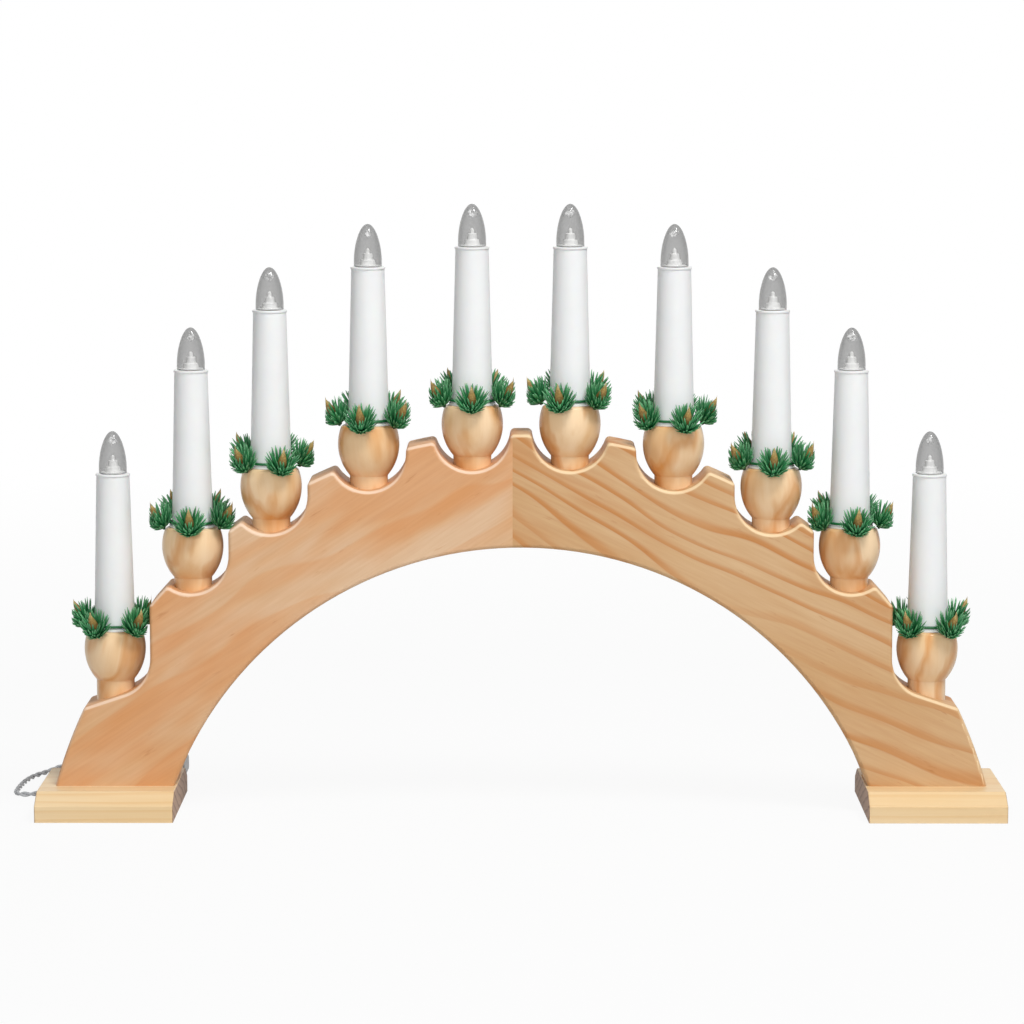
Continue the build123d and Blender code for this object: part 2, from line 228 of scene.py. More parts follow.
def pineBoards(name, pine, shift):
    # growth rings are whole shells about a heart line along the depth: distance to it, swayed by noise,
    # over the ring spacing; warm patches and fine fibres run along the grain; the rounded edges facing up
    # and to the front or back get a painted highlight, paler as if lit from above
    finish = Finish(name, specularIorLevel=0.22)
    place = finish.place()
    grain = finish.turned(place, shift, (0, radians(pine["turn"]), 0))
    sway = finish.streaks(grain, (5, 9, 14))
    away = finish.add("VectorMath", {"operation": "SUBTRACT"}, {0: place, 1: pine["heart"]})
    rings = (finish.reach(away, (1.0, 0.35, 1.0)) + (sway - 0.5) * pine["sway"]) / pine["spacing"]
    late = finish.ramp(rings.math("FRACT"), (0.0, grey(0)), (pine["early"], grey(0.05)), (0.86, grey(0.9)),
                       (0.93, grey(1)), (1.0, grey(0)), ease="EASE")
    fade = finish.streaks(grain, (7, 20, 28))
    patchFrom = pine["patchFrom"]
    patch = finish.step(finish.streaks(grain, (7, 14, 26), 3.0), patchFrom, patchFrom + 0.16, "EASE")
    tone = finish.streaks(grain, (9, 30, 40))
    fibre = finish.streaks(grain, (30, 500, 620), 3.0)
    base = finish.mix(finish.step(tone, 0.35, 0.65), pine["pale"], pine["mid"])
    base = finish.mix(patch * pine["patches"], base, pine["warm"])
    stripe = late * finish.ramp(fade, (0.32, grey(0.25)), (0.6, grey(1))) * pine["stripes"]
    base = finish.mix(stripe, base, pine["warm"])
    flecks = finish.step(finish.streaks(grain, (60, 260, 420), 3.0), 0.66, 0.76)
    base = finish.mix(flecks * 0.45, base, pine["line"])
    base = finish.mix((fibre - 0.5) * 0.5 + 0.12, base, pine["line"])
    # painted highlight: rounded edges that face up and to the front or back are mixed towards the paler edge
    # colour
    normal = finish.add("TexCoord", output="Normal")
    upward = finish.step(finish.axis(normal, "Z"), 0.12, 0.4)
    outward = finish.step(abs(finish.axis(normal, "Y")), 0.1, 0.35)
    base = finish.mix(upward * outward * 0.7, base, pine["edge"])
    finish.set(baseColor=base, roughness=0.46 + fibre * 0.18)
    finish.rough(fibre + late * 0.3, 0.12, 0.0004)
    return finish


# pine of the feet: spacing and sway in metres, turns in degrees; the end colours are darker end grain with
# painted shade
footPine = {
    "pale": shade(232, 208, 169), "mid": shade(224, 193, 145), "warm": shade(214, 171, 112),
    "shadedEndPale": shade(172, 140, 116), "shadedEndDark": shade(118, 88, 72),
    "roll": 24.0, "slant": 1.5, "spacing": 0.0052, "sway": 0.012,
}


def pineFeet(name, shift):
    # straight grain along the foot; the sawn ends show the ring edges and are duller; their darker colour is
    # partly end grain and partly painted shade of the ends that face sideways
    finish = Finish(name, specularIorLevel=0.35, coatWeight=0.1, coatRoughness=0.3)
    place = finish.place()
    grain = finish.turned(place, shift, (radians(footPine["roll"]), 0, radians(footPine["slant"])))
    drift = finish.streaks(grain, (2.5, 30, 30))
    rings = (finish.axis(grain, "Z") + (drift - 0.5) * footPine["sway"]) / footPine["spacing"]
    late = finish.ramp(rings.math("FRACT"), (0.0, grey(0)), (0.5, grey(0.1)), (0.9, grey(1)), (1.0, grey(0)),
                       ease="EASE")
    fibre = finish.streaks(grain, (20, 520, 620), 3.0)
    tone = finish.streaks(grain, (4, 26, 26))
    side = finish.mix(finish.step(tone, 0.35, 0.65), footPine["pale"], footPine["mid"])
    side = finish.mix(late * 0.34 + (fibre - 0.5) * 0.4, side, footPine["warm"])
    pores = finish.noise(place, 900.0)
    # partly painted shade: the sideways-facing ends are darkened beyond the real end grain, as if out of the
    # light
    end = finish.mix(late * 0.75 + (pores - 0.5) * 0.5, footPine["shadedEndPale"], footPine["shadedEndDark"])
    sawnEndAndShade = finish.step(abs(finish.axis(finish.add("TexCoord", output="Normal"), "X")), 0.55, 0.8)
    finish.set(baseColor=finish.mix(sawnEndAndShade, side, end), roughness=0.38 + fibre * 0.12 + sawnEndAndShade * 0.25)
    finish.rough(fibre + late * 0.4 + sawnEndAndShade * pores, 0.12, 0.0004)
    return finish


cupPine = {
    "pale": shade(239, 209, 170), "mid": shade(229, 190, 142), "warm": shade(212, 146, 80),
    "spacing": 0.0075, "sway": 0.012,
}


def cupWood():
    # turned pine under lacquer: rings about a heart line beside the cup, read from each cup's own block
    finish = Finish("cupLacquer", specularIorLevel=0.25, coatWeight=0.3, coatRoughness=0.1)
    block = finish.attribute("woodBlock", "Vector")
    sway = finish.streaks(block, (70, 70, 22))
    rings = (finish.reach(block, (1.0, 1.0, 0.12)) + (sway - 0.5) * cupPine["sway"]) / cupPine["spacing"]
    late = finish.ramp(rings.math("FRACT"), (0.0, grey(0)), (0.35, grey(0.06)), (0.72, grey(1)),
                       (0.85, grey(0.6)), (1.0, grey(0)), ease="EASE")
    tone = finish.streaks(block, (55, 55, 16))
    fibre = finish.streaks(block, (620, 620, 40), 3.0)
    base = finish.mix(finish.step(tone, 0.38, 0.62), cupPine["pale"], cupPine["mid"])
    patch = finish.step(tone, 0.55, 0.75)
    base = finish.mix(late * 0.7 + patch * 0.4 + (fibre - 0.5) * 0.3, base, cupPine["warm"])
    finish.set(baseColor=base, roughness=0.36 + fibre * 0.14)
    finish.rough(fibre, 0.06, 0.0003)
    return finish


def whitePlastic():
    finish = Finish("candleWhite", specularIorLevel=0.4, subsurfaceWeight=0.08, subsurfaceScale=0.004)
    place = finish.place()
    cloud = finish.noise(place, 60.0)
    grit = finish.noise(place, 900.0)
    base = finish.mix(cloud, shade(236, 236, 235), shade(229, 229, 230))
    finish.set(baseColor=base, roughness=0.36 + grit * 0.14)
    finish.rough(grit, 0.05, 0.0002)
    return finish


def clearGlass(name, tint, thin, edge, far):
    # clear moulding: nearly see-through face on, denser towards its outline and on its far wall; the grey
    # tint, denser outline and far wall are painted shade standing in for darker surroundings seen in the
    # glass
    finish = Finish(name, specularIorLevel=0.8, coatWeight=0.6, coatRoughness=0.02)
    ripple = finish.noise(finish.place(), 220.0)
    facing = finish.add("LayerWeight", None, {"Blend": 0.35}, "Facing")
    finish.set(baseColor=finish.mix(ripple, tint, shade(96, 96, 94)), roughness=0.03 + ripple * 0.05)
    turned = finish.add("NewGeometry", output="Backfacing")
    finish.set(alpha=facing ** 1.6 * (edge - thin) + thin + turned * far)
    finish.rough(ripple, 0.05, 0.0004)
    return finish


def clearLump():
    # painted glint: the thick tip is painted near white where the moulding ripples, standing in for the light
    # it catches, see-through between
    finish = Finish("bulbTipGlint", specularIorLevel=0.8, coatWeight=0.6, coatRoughness=0.05)
    ripple = finish.noise(finish.place(), 420.0)
    paintedGlint = finish.step(ripple, 0.42, 0.56)
    base = finish.mix(paintedGlint, shade(150, 150, 148), shade(252, 252, 252))
    finish.set(baseColor=base, alpha=paintedGlint * 0.7 + 0.05, roughness=0.05 + ripple * 0.1)
    finish.rough(ripple, 0.3, 0.0006)
    return finish


def greenNeedles():
    # dark at the foot, lighter at the tip, each needle a little different
    finish = Finish("needleGreen", specularIorLevel=0.45)
    body = finish.ramp(finish.attribute("along"), (0.0, shade(14, 52, 30)), (0.35, shade(30, 108, 60)),
                       (0.75, shade(58, 146, 88)), (1.0, shade(120, 184, 132)))
    streak = finish.noise(finish.place(), 1400.0)
    darker = finish.attribute("luck") * 0.5 + (streak - 0.5) * 0.4
    finish.set(baseColor=finish.mix(darker, body, shade(12, 62, 34)), roughness=0.34 + streak * 0.2)
    return finish


def budScales():
    # brown buds that pale to gold at the tip, with rows of scales
    finish = Finish("budBrown", specularIorLevel=0.4)
    scaling = {"Vector": finish.place(), "Scale": 900.0}
    scales = finish.add("TexVoronoi", {"feature": "F1"}, scaling, "Distance")
    body = finish.ramp(finish.attribute("along"), (0.0, shade(58, 62, 26)), (0.3, shade(112, 86, 40)),
                       (0.7, shade(176, 148, 84)), (1.0, shade(226, 208, 150)))
    finish.set(baseColor=finish.mix(scales * 0.7, body, shade(92, 66, 30)), roughness=0.45 + scales * 0.2)
    finish.rough(scales, 0.35, 0.0003)
    return finish


def greyPlastic(name, pale, dark, shine):
    finish = Finish(name, specularIorLevel=0.45)
    place = finish.place()
    cloud = finish.noise(place, 140.0, 3.0)
    grit = finish.noise(place, 1600.0)
    finish.set(baseColor=finish.mix(cloud, pale, dark), roughness=shine + grit * 0.15)
    finish.rough(grit, 0.08, 0.0002)
    return finish


def plainMetal(name, pale, dark, shine):
    # drawn or rolled metal: fine lines across the piece's length vary the gloss
    finish = Finish(name, metallic=1.0)
    place = finish.place()
    lines = finish.streaks(place, (1500, 120, 1500))
    wear = finish.noise(place, 300.0, 3.0)
    finish.set(baseColor=finish.mix(wear, pale, dark), roughness=shine + lines * 0.18)
    finish.rough(lines, 0.06, 0.0001)
    return finish


def beechDowels():
    finish = Finish("dowelBeech", specularIorLevel=0.3)
    fibre = finish.streaks(finish.place(), (40, 700, 700), 3.0)
    base = finish.mix(fibre, shade(214, 176, 130), shade(182, 138, 92))
    finish.set(baseColor=base, roughness=0.5 + fibre * 0.15)
    finish.rough(fibre, 0.15, 0.0003)
    return finish


dress("front_board_left", pineBoards("archPineLeft", pineLeft, (0.09, 0.0, 0.03)))
dress("front_board_right", pineBoards("archPineRight", pineRight, (0.03, 0.0, 0.01)))
dress("back_board_left", pineBoards("archPineLeftBack", pineLeft, (0.4, 0.2, 0.3)))
dress("back_board_right", pineBoards("archPineRightBack", pineRight, (0.7, 0.1, 0.2)))
dress("foot_left", pineFeet("footPineLeft", (0.0, 0.0, 0.0)))
dress("foot_right", pineFeet("footPineRight", (0.35, 0.013, 0.021)))
dress("seam_dowels", beechDowels())
dress("foot_screws", plainMetal("screwZinc", shade(205, 206, 208), shade(168, 170, 176), 0.28))
dress("wire_harness", greyPlastic("harnessCover", shade(226, 226, 222), shade(198, 198, 196), 0.4))
dress("cord_gland", greyPlastic("glandGrey", shade(186, 188, 188), shade(160, 163, 164), 0.38))
dress("cord_tie", greyPlastic("tieGrey", shade(92, 94, 96), shade(70, 72, 74), 0.5))
dress("plug", greyPlastic("plugGrey", shade(196, 198, 198), shade(176, 178, 179), 0.36))
dress("plug_pins", plainMetal("pinNickel", shade(214, 210, 200), shade(178, 174, 166), 0.2))
print("boards, feet and fittings dressed")


# Shapes: grids in mm about a piece's own seat, moved to metres when the mesh is made

def gridFaces(rows, cols, wrapRows=False):
    # quads between neighbouring rows and columns; columns close on themselves, rows where asked
    row, col = np.meshgrid(np.arange(rows if wrapRows else rows - 1), np.arange(cols), indexing="ij")
    nextRow = (row + 1) % rows
    nextCol = (col + 1) % cols
    corners = [row * cols + col, row * cols + nextCol, nextRow * cols + nextCol, nextRow * cols + col]
    return np.stack(corners, -1).reshape(-1, 4)


def addPiece(name, points, faces, finish, body, replaced=(), marks=None):
    # points in metres; marks are values kept on the mesh, one number or vector for each point
    mesh = bpy.data.meshes.new(name)
    mesh.from_pydata(points.tolist(), [], faces.tolist())
    for mark, values in (marks or {}).items():
        kind, field = ("FLOAT_VECTOR", "vector") if values.ndim == 2 else ("FLOAT", "value")
        mesh.attributes.new(mark, kind, "POINT").data.foreach_set(field, values.astype(np.float32).ravel())
    shell = bmesh.new()
    shell.from_mesh(mesh)
    bmesh.ops.remove_doubles(shell, verts=shell.verts, dist=1e-7)
    shell.to_mesh(mesh)
    shell.free()
    mesh.polygons.foreach_set("use_smooth", np.ones(len(mesh.polygons), bool))
    mesh.materials.append(finish.material)
    piece = bpy.data.objects.new(name, mesh)
    bpy.context.scene.collection.objects.link(piece)
    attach(piece, body)
    if replaced:
        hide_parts(*replaced)
    return piece


# easing of turned corners: most of a side that it takes, points of its curve, where the flat is held
easing = {"most": 0.3, "points": 5, "hold": 1.5}


def eased(corners, closed):
    # each corner (radius, height, ease) becomes a curve between points one ease away on its two sides,
    # with a point a little further out that keeps the flat beside it flat
    outline = []
    total = len(corners)
    for index, (radius, height, ease) in enumerate(corners):
        here = np.array([radius, height])
        if ease == 0 or (not closed and index in (0, total - 1)):
            outline.append(here[None])
            continue
        back = np.array(corners[index - 1][:2]) - here
        ahead = np.array(corners[(index + 1) % total][:2]) - here
        reach = min(ease, easing["most"] * np.linalg.norm(back), easing["most"] * np.linalg.norm(ahead))
        back = back / np.linalg.norm(back) * reach
        ahead = ahead / np.linalg.norm(ahead) * reach
        t = np.linspace(0, 1, easing["points"])[:, None]
        curve = here + (1 - t) ** 2 * back + t ** 2 * ahead
        outline += [here[None] + back * easing["hold"], curve, here[None] + ahead * easing["hold"]]
    return np.concatenate(outline)


def arcThrough(first, middle, last, count):
    # points on the circle through three given ones, without the two ends
    a, b, c = (complex(*p) for p in (first, middle, last))
    w = (c - a) / (b - a)
    centre = a + (b - a) * (w - abs(w) ** 2) / (2j * w.imag)
    start, end = np.angle(a - centre), np.angle(c - centre)
    turn = np.linspace(start, end, count + 2)[1:-1]
    arc = centre + abs(a - centre) * np.exp(1j * turn)
    return [(p.real, p.imag, 0) for p in arc]


def bezier(p0, p1, p2, p3, count):
    # the cubic curve of four guide points, without its first
    t = np.linspace(0, 1, count + 1)[1:, None]
    points = [np.array(p) for p in (p0, p1, p2, p3)]
    curve = (1 - t) ** 3 * points[0] + 3 * (1 - t) ** 2 * t * points[1] + 3 * (1 - t) * t ** 2 * points[2]
    return [(r, z, 0) for r, z in curve + t ** 3 * points[3]]


def turnedGrid(outline, sides):
    # radius times the cosine and sine of the angle round the axis, and the height
    angle = np.arange(sides) * 2 * pi / sides
    radius = outline[:, :1]
    height = np.broadcast_to(outline[:, 1:], (len(outline), sides))
    return np.stack([radius * np.cos(angle), radius * np.sin(angle), height], -1).reshape(-1, 3)


def turnedPiece(name, seat, corners, closed, sides, finish, body, replaced=(), block=None):
    outline = eased(corners, closed)
    points = turnedGrid(outline, sides)
    faces = gridFaces(len(outline), sides, wrapRows=closed)
    marks = {"woodBlock": block(points)} if block else None
    addPiece(name, points * mm + seat, faces, finish, body, replaced, marks)


def turnMatrix(angle):
    # a turn about the upright axis
    return np.array([[np.cos(angle), -np.sin(angle), 0], [np.sin(angle), np.cos(angle), 0], [0, 0, 1]])


tube = {
    "spigotLow": 4.0, "spigotR": 8.0, "cupTop": 13.5, "flangeR": 12.5, "flangeThick": 1.5,
    "baseR": 11.0, "topR": 8.9, "length": 82.0, "wall": 1.2, "sides": 64,
}
tubeLow = tube["cupTop"] + tube["flangeThick"]
tubeHigh = tubeLow + tube["length"]


def candleSeat(number):
    # the middle of a cup, from the box of the tube that stands in it
    low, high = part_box(f"candle_tube_{number:02d}")
    return np.array([(low.x + high.x) / 2, (low.y + high.y) / 2, low.z - tube["spigotLow"] * mm])


seats = {number: candleSeat(number) for number in candleNumbers}

cup = {
    "neckR": 10.2, "neckLow": -35.5, "foot": -13.7, "bellyR": 16.3, "bellyPoints": 22, "shoulderR": 14.8,
    "shoulderDrop": 0.9, "rimR": 13.5, "holeR": 3.0, "fit": 0.1, "room": 0.4, "sides": 64, "seed": 100,
    "mostTip": 14.0,
}


def cupBelly():
    # the round of the cup between its neck and its shoulder, with both ends
    foot = (cup["neckR"], cup["foot"])
    shoulder = (cup["shoulderR"], tube["cupTop"] - cup["shoulderDrop"])
    return foot, arcThrough(foot, (cup["bellyR"], 0), shoulder, cup["bellyPoints"]), shoulder


def cupReach(height):
    # the cup's radius at each height with a little room round it, and nothing above its rim
    foot, belly, shoulder = cupBelly()
    radius, rise = np.array([foot, *(corner[:2] for corner in belly), shoulder]).T
    return np.where(height < tube["cupTop"] + cup["room"], np.interp(height, rise, radius) + cup["room"], 0)


def cupCorners():
    # neck, round belly, short shoulder, and the hole for the candle's spigot
    foot, belly, shoulder = cupBelly()
    bore = tube["spigotR"] + cup["fit"]
    return [
        (cup["holeR"], cup["neckLow"], 0), (cup["neckR"], cup["neckLow"], 0.4), (*foot, 0.25), *belly,
        (*shoulder, 0.5), (cup["rimR"], tube["cupTop"], 0.3), (bore, tube["cupTop"], 0.3),
        (bore, tube["spigotLow"], 0), (cup["holeR"], tube["spigotLow"], 0),
    ]


def woodBlock(luck):
    # where a cup's points lay in its own block of wood, in metres: turned, tipped and set beside the heart
    tip, spin = radians(luck.uniform(-cup["mostTip"], cup["mostTip"])), luck.uniform(0, 2 * pi)
    tipped = np.array([[1, 0, 0], [0, np.cos(tip), -np.sin(tip)], [0, np.sin(tip), np.cos(tip)]])
    shift = np.array([luck.uniform(0.02, 0.05), luck.uniform(-0.02, 0.02), luck.uniform(0, 2)])
    return lambda points: points * mm @ (tipped @ turnMatrix(spin)).T + shift


lamp = {
    "lipR": 9.3, "lipThick": 1.2, "socketLong": 20.0, "bodyR": 7.3, "boreR": 4.9, "boreDeep": 12.3,
    "sides": 48,
}
lipTop = tubeHigh + lamp["lipThick"]

# bulb: the carrier's corners are radius, height over the bulb's foot and ease
bulb = {
    "gap": 0.3, "r": 7.5, "tall": 22.5, "straight": 2.5, "wall": 0.8, "fullTo": 0.46, "tipWide": 0.56,
    "sidePoints": 22, "sides": 48, "middle": 6.0,
    "collarGap": 0.1, "collarThick": 0.6, "carrierSides": 32,
    "carrier": (
        (4.2, 0.6, 0.2), (3.8, 3.4, 0.5), (2.7, 3.4, 0.2), (2.5, 6.8, 0.5), (1.1, 6.8, 0.2), (1.0, 9.0, 0.5),
        (0, 9.8, 0),
    ),
    "capR": 4.6, "capLong": 12.0, "capSides": 32, "capTopR": 4.3,
    "threadFrom": 1.6, "threadEnd": 0.6, "threadPitch": 1.6, "threadDeep": 0.25, "threadPoints": 49,
    "lumpR": 2.1, "lumpLow": 7.4, "lumpTall": 4.6, "lumpRows": 13, "lumpSides": 20, "lumpWaves": (0.30, 0.22),
}
bulbLow = lipTop + bulb["gap"]
bulbTop = bulbLow + bulb["tall"]


def tubeCorners():
    # spigot in the cup, flange on its rim, then the tapered candle and back down its inner wall
    inner = tube["spigotR"] - tube["wall"]
    return [
        (inner, tube["spigotLow"], 0.2), (tube["spigotR"], tube["spigotLow"], 0.2),
        (tube["spigotR"], tube["cupTop"], 0), (tube["flangeR"], tube["cupTop"], 0.3),
        (tube["flangeR"], tubeLow, 0.5), (tube["baseR"], tubeLow, 0.5), (tube["topR"], tubeHigh, 0.3),
        (tube["topR"] - tube["wall"], tubeHigh, 0.2),
        (tube["baseR"] - tube["wall"], tubeLow + tube["wall"], 0), (inner, tubeLow + tube["wall"], 0),
    ]


def socketCorners():
    # body in the tube, lip on its top, and the bore for the bulb's cap
    return [
        (0, tubeHigh - lamp["socketLong"], 0), (lamp["bodyR"], tubeHigh - lamp["socketLong"], 0.4),
        (lamp["bodyR"], tubeHigh, 0), (lamp["lipR"], tubeHigh, 0.3), (lamp["lipR"], lipTop, 0.4),
        (lamp["boreR"], lipTop, 0.3), (lamp["boreR"], lipTop - lamp["boreDeep"], 0),
        (0, lipTop - lamp["boreDeep"], 0),
    ]


def ogive(radius, top):
    # straight at the foot, then a cubic that closes in a round tip
    straight = bulbLow + bulb["straight"]
    full = (radius, straight + (top - straight) * bulb["fullTo"])
    side = bezier((radius, straight), full, (radius * bulb["tipWide"], top), (0, top), bulb["sidePoints"])
    return [(radius, bulbLow, 0), (radius, straight, 0), *side]


def carrierCorners():
    # stepped white carrier in the bulb with the diode on top
    collar = bulb["r"] - bulb["wall"] - bulb["collarGap"]
    steps = [(radius, bulbLow + height, ease) for radius, height, ease in bulb["carrier"]]
    return [(0, bulbLow, 0), (collar, bulbLow, 0.2), (collar, bulbLow + bulb["collarThick"], 0.2), *steps]


def tipShape(luck):
    # the thick moulded tip inside a bulb: a small lump, its radius waved round the axis and along its height
    t = np.linspace(0, 1, bulb["lumpRows"])[:, None]
    around = np.arange(bulb["lumpSides"]) * 2 * pi / bulb["lumpSides"]
    first, second = luck.uniform(0, 2 * pi, 2)
    double, triple = bulb["lumpWaves"]
    wave = 1 + double * np.sin(2 * around + first) + triple * np.sin(3 * around + second + 5 * t)
    radius = bulb["lumpR"] * np.sin(pi * t) ** 0.7 * wave
    height = np.broadcast_to(bulbTop - bulb["lumpLow"] + bulb["lumpTall"] * t, radius.shape)
    points = np.stack([radius * np.cos(around), radius * np.sin(around), height], -1).reshape(-1, 3)
    return points, gridFaces(bulb["lumpRows"], bulb["lumpSides"])


def capCorners():
    # screw cap: a contact below, then a rolled thread, the radius waves with the height
    low, high, deep = lipTop - bulb["capLong"], bulbLow, bulb["threadDeep"]
    height = np.linspace(low + bulb["threadFrom"], high - bulb["threadEnd"], bulb["threadPoints"])
    wave = bulb["capR"] - deep + deep * np.sin((height - low) * 2 * pi / bulb["threadPitch"])
    contact = [(0, low, 0), (2.0, low, 0.3), (2.6, low + 0.8, 0.3), (4.1, low + 1.1, 0.3)]
    thread = [(r, z, 0) for r, z in zip(wave, height)]
    return [*contact, *thread, (bulb["capTopR"], high, 0.2), (0, high, 0)]


cupFinish = cupWood()
whiteFinish = whitePlastic()
carrierFinish = greyPlastic("carrierWhite", shade(246, 246, 244), shade(236, 236, 236), 0.35)
# the grey tints and denser outlines of the bulb glass are painted shade of darker surroundings
glassFinish = clearGlass("bulbClear", shade(104, 104, 102), 0.17, 0.62, 0.40)
glassInside = clearGlass("bulbClearInside", shade(140, 140, 138), 0.05, 0.24, 0.0)
lumpFinish = clearLump()
brassFinish = plainMetal("capBrass", shade(214, 178, 106), shade(184, 146, 80), 0.25)


def addGlass(tag, seat):
    # an outer and an inner wall in one piece, the inner one with a thinner finish
    outer = ogive(bulb["r"], bulbTop)
    inner = ogive(bulb["r"] - bulb["wall"], bulbTop - bulb["wall"])
    outline = np.array([corner[:2] for corner in outer + inner[::-1]])
    points = turnedGrid(outline, bulb["sides"]) * mm + seat
    faces = gridFaces(len(outline), bulb["sides"], wrapRows=True)
    glass = addPiece(f"bulbGlass_{tag}", points, faces, glassFinish, f"bulb_{tag}",
                     [f"bulb_glass_{tag}"])
    glass.visible_shadow = False
    glass.data.materials.append(glassInside.material)
    normals = np.empty(len(glass.data.polygons) * 3)
    glass.data.polygons.foreach_get("normal", normals)
    centres = np.empty_like(normals)
    glass.data.polygons.foreach_get("center", centres)
    away = centres.reshape(-1, 3) - seat - np.array([0, 0, (bulbLow + bulb["middle"]) * mm])
    inward = (normals.reshape(-1, 3) * away).sum(1) < 0
    glass.data.polygons.foreach_set("material_index", inward.astype(np.int32))


for number, seat in seats.items():
    tag = f"{number:02d}"
    rider = f"bulb_{tag}"
    half = "cups_left" if number <= 5 else "cups_right"
    luck = np.random.default_rng(cup["seed"] + number)
    turnedPiece(f"cup_{tag}", seat, cupCorners(), True, cup["sides"], cupFinish, "stand", [half],
                woodBlock(luck))
    turnedPiece(f"candleTube_{tag}", seat, tubeCorners(), True, tube["sides"], whiteFinish,
                "stand", [f"candle_tube_{tag}"])
    turnedPiece(f"lampSocket_{tag}", seat, socketCorners(), False, lamp["sides"], whiteFinish,
                "stand", ["lamp_sockets"])
    turnedPiece(f"bulbCarrier_{tag}", seat, carrierCorners(), False, bulb["carrierSides"], carrierFinish,
                rider, [f"bulb_base_{tag}"])
    turnedPiece(f"bulbCap_{tag}", seat, capCorners(), False, bulb["capSides"], brassFinish,
                rider, [f"bulb_base_{tag}"])
    addGlass(tag, seat)
    # a small lump in the bulb's tip that carries the painted glints
    points, faces = tipShape(luck)
    lump = addPiece(f"bulbTipGlint_{tag}", points * mm + seat, faces, lumpFinish, rider,
                    [f"bulb_glass_{tag}"])
    lump.visible_shadow = False
print("cups, candles and bulbs turned")


# garlands: mm about the seat, degrees; turns are the wreaths' own places on their candles, layers are
# lean, number and length of needles, shades are what the finish reads as way along and luck
garland = {
    "ringR": 12.2, "ringZ": 16.2, "wireR": 0.75, "wireSides": 8, "ringSteps": 48, "wireShades": (0.32, 0.4),
    "turns": (26, 54, 3, 44, 54, 37, 0, 54, 61, 17), "tufts": 5, "tilt": 58.0, "seed": 40,
    "hubOut": 15.4, "hubZ": 14.6, "lean": (-1.0, 3.0), "hubR": 1.3, "hubRows": 7, "hubShades": (0.12, 0.5),
    "layers": ((78, 22, 8.4), (62, 26, 10.8), (46, 24, 12.8), (30, 14, 13.4)),
    "needleWide": 0.78, "needleFlat": 0.55, "needleAt": (0.06, 0.35, 0.65, 0.88, 1.0),
    "needleTaper": (0.8, 1.0, 0.9, 0.66, 0.2), "bend": 0.28, "outerShort": 0.3,
    "bud": 15.2, "budR": 2.9, "budLow": 1.8, "budRows": 12, "blobSides": 10,
    "clearR": 11.6, "mostR": 23.0, "overshoot": 0.15, "inwardMost": 18.6, "inwardPull": 0.9,
    "inward": {1: 1, 10: -1},
}


def needleTree(luck):
    # each layer of a tuft is a cone: lean off the tuft's axis, number of needles, length
    lean, around, long = [], [], []
    for angle, count, length in garland["layers"]:
        lean.append(angle + luck.uniform(-6, 6, count))
        around.append(np.arange(count) * 360 / count + luck.uniform(-7, 7, count))
        long.append(length * luck.uniform(0.93, 1.05, count))
    return np.radians(np.concatenate(lean)), np.radians(np.concatenate(around)), np.concatenate(long)


def tuftNeedles(luck):
    # a needle leaves the hub at its lean and bends up towards the tuft's axis with the square of the way
    # along; its four-sided section narrows to the tip, and needles on the outer side are shorter
    lean, around, long = needleTree(luck)
    long = long * (1 - garland["outerShort"] * np.sin(lean) * np.clip(np.cos(around), 0, 1))
    along = np.array(garland["needleAt"])
    width = garland["needleWide"] * np.array(garland["needleTaper"])
    out = np.stack([np.sin(lean) * np.cos(around), np.sin(lean) * np.sin(around), np.cos(lean)], -1)
    side = np.stack([-np.sin(around), np.cos(around), np.zeros_like(around)], -1)
    back = np.cross(out, side)
    axis = np.array([0, 0, 1.0])
    bend = (garland["bend"] * long * np.sin(lean))[:, None, None]
    reach = along[None, :, None] * long[:, None, None]
    spine = out[:, None] * reach + axis * (along ** 2)[None, :, None] * bend
    flat = garland["needleFlat"]
    corner = np.array([[1, 0], [0, flat], [-1, 0], [0, -flat]])
    ring = corner[:, :1] * side[:, None, None] + corner[:, 1:] * back[:, None, None]
    points = spine[:, :, None] + ring * width[None, :, None, None]
    count, rows, sides = points.shape[:3]
    tip = np.arange(sides)[None] + (rows - 1) * sides
    faces = np.concatenate([gridFaces(rows, sides), tip])
    allFaces = (faces[None] + np.arange(count)[:, None, None] * rows * sides).reshape(-1, sides)
    share = np.broadcast_to(along[None, :, None], points.shape[:3]).reshape(-1)
    chance = np.broadcast_to(luck.uniform(0, 1, count)[:, None, None], points.shape[:3]).reshape(-1)
    return points.reshape(-1, 3), allFaces, share, chance


def hubShape():
    # a small ball: cosine and sine of the angle from pole to pole
    t = np.linspace(-pi / 2, pi / 2, garland["hubRows"])
    outline = garland["hubR"] * np.stack([np.cos(t), np.sin(t)], -1)
    return turnedGrid(outline, garland["blobSides"]), gridFaces(len(t), garland["blobSides"])


def budShape(luck):
    # a pointed bud: the radius is a sine of the way along, drawn out to the tip
    t = np.linspace(0, 1, garland["budRows"])
    radius = garland["budR"] * np.sin(pi * t ** 0.62) ** 0.85 * (1 - 0.35 * t)
    height = garland["budLow"] + garland["bud"] * t * luck.uniform(0.95, 1.08)
    points = turnedGrid(np.stack([radius, height], -1), garland["blobSides"])
    return points, gridFaces(len(t), garland["blobSides"]), np.repeat(t, garland["blobSides"])


